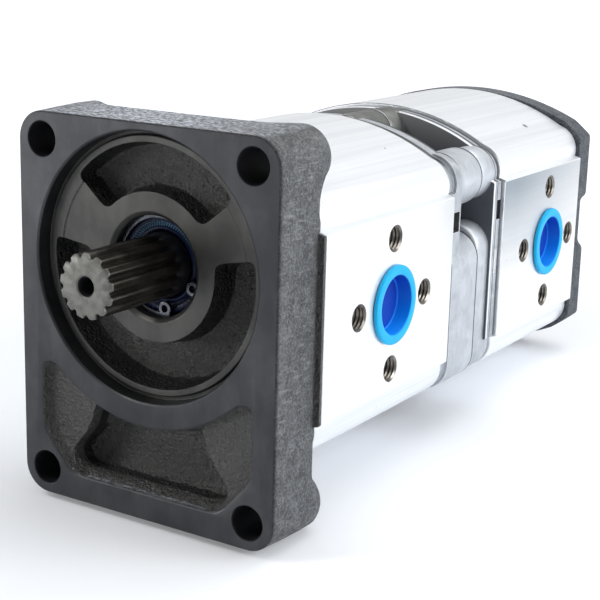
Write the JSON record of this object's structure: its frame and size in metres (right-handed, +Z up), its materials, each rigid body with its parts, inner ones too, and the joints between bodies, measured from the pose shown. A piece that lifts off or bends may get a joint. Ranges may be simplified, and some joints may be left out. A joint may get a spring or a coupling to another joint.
{
  "type": "tandem gear pump",
  "caption": "Flange-mounted tandem hydraulic gear pump: splined drive shaft, cast covers, extruded bodies with side ports and an open cast adapter between them.",
  "frame": {"origin": "on the plane that touches the flange's lower edge, under the middle of the pump's length and width", "axes": "+Z up; the drive shaft runs along Y with its splined end towards -Y; the inlet ports face +X and the outlet ports face -X"},
  "size_m": [0.0994, 0.2398, 0.1179],
  "materials": {
    "cast_iron_black": "cast front cover, machined face, thin black coat",
    "cast_iron_grey": "cast rear cover, dark grey",
    "extruded_aluminium": "bright extruded surface with fine lengthwise lines",
    "cast_aluminium": "die cast, dull grey",
    "ground_steel": "hardened and ground",
    "sleeve_steel": "turned and broached",
    "block_aluminium": "machined die casting",
    "bush_bronze": "plain bearing lining",
    "seal_rubber_blue": "dark blue seal rubber",
    "ring_rubber_black": "black nitrile",
    "spring_steel": "bright spring steel and ground pins",
    "bolt_steel": "black oxide",
    "plug_blue": "soft blue polyethylene"
  },
  "bodies": {
    "housing": {"front_cover": "cast_iron_black", "rear_cover": "cast_iron_grey", "front_body": "extruded_aluminium", "rear_body": "extruded_aluminium", "adapter_front": "cast_aluminium", "adapter_rear": "cast_aluminium", "shaft_seal": "seal_rubber_blue", "seal_circlip": "spring_steel", "bearing_block_front_fore": "block_aluminium", "bearing_block_front_aft": "block_aluminium", "bearing_block_rear_fore": "block_aluminium", "bearing_block_rear_aft": "block_aluminium", "bush_front_fore_drive": "bush_bronze", "bush_front_fore_driven": "bush_bronze", "bush_front_aft_drive": "bush_bronze", "bush_front_aft_driven": "bush_bronze", "bush_rear_fore_drive": "bush_bronze", "bush_rear_fore_driven": "bush_bronze", "bush_rear_aft_drive": "bush_bronze", "bush_rear_aft_driven": "bush_bronze", "block_seal_front_fore": "ring_rubber_black", "block_seal_front_aft": "ring_rubber_black", "block_seal_rear_fore": "ring_rubber_black", "block_seal_rear_aft": "ring_rubber_black", "section_seal_front_fore": "ring_rubber_black", "section_seal_front_aft": "ring_rubber_black", "section_seal_rear_fore": "ring_rubber_black", "section_seal_rear_aft": "ring_rubber_black", "dowel_front_cover_right": "spring_steel", "dowel_front_cover_left": "spring_steel", "dowel_adapter_front_right": "spring_steel", "dowel_adapter_front_left": "spring_steel", "dowel_adapter_rear_right": "spring_steel", "dowel_adapter_rear_left": "spring_steel", "dowel_rear_cover_right": "spring_steel", "dowel_rear_cover_left": "spring_steel", "tie_bolt_1": "bolt_steel", "tie_bolt_2": "bolt_steel", "tie_bolt_3": "bolt_steel", "tie_bolt_4": "bolt_steel", "washer_1": "bolt_steel", "washer_2": "bolt_steel", "washer_3": "bolt_steel", "washer_4": "bolt_steel", "inlet_plug_front": "plug_blue", "inlet_plug_rear": "plug_blue", "outlet_plug_front": "plug_blue", "outlet_plug_rear": "plug_blue"},
    "drive_train": {"drive_gear_front": "ground_steel", "coupling_sleeve": "sleeve_steel", "drive_gear_rear": "ground_steel"},
    "driven_front": {"driven_gear_front": "ground_steel"},
    "driven_rear": {"driven_gear_rear": "ground_steel"}
  },
  "joints": [
    {"name": "drive_shaft_spin", "type": "hinge", "parent": "housing", "child": "drive_train", "pos_m": [0, -0.0373, 0.0757], "axis": [0, 1, 0], "continuous": true},
    {"name": "driven_front_spin", "type": "hinge", "parent": "housing", "child": "driven_front", "pos_m": [0, -0.0373, 0.0477], "axis": [0, 1, 0], "continuous": true},
    {"name": "driven_rear_spin", "type": "hinge", "parent": "housing", "child": "driven_rear", "pos_m": [0, 0.0777, 0.0477], "axis": [0, 1, 0], "continuous": true}
  ],
  "couplings": [
    {"joint": "driven_front_spin", "follows": "drive_shaft_spin", "ratio": -1},
    {"joint": "driven_rear_spin", "follows": "drive_shaft_spin", "ratio": -1}
  ]
}
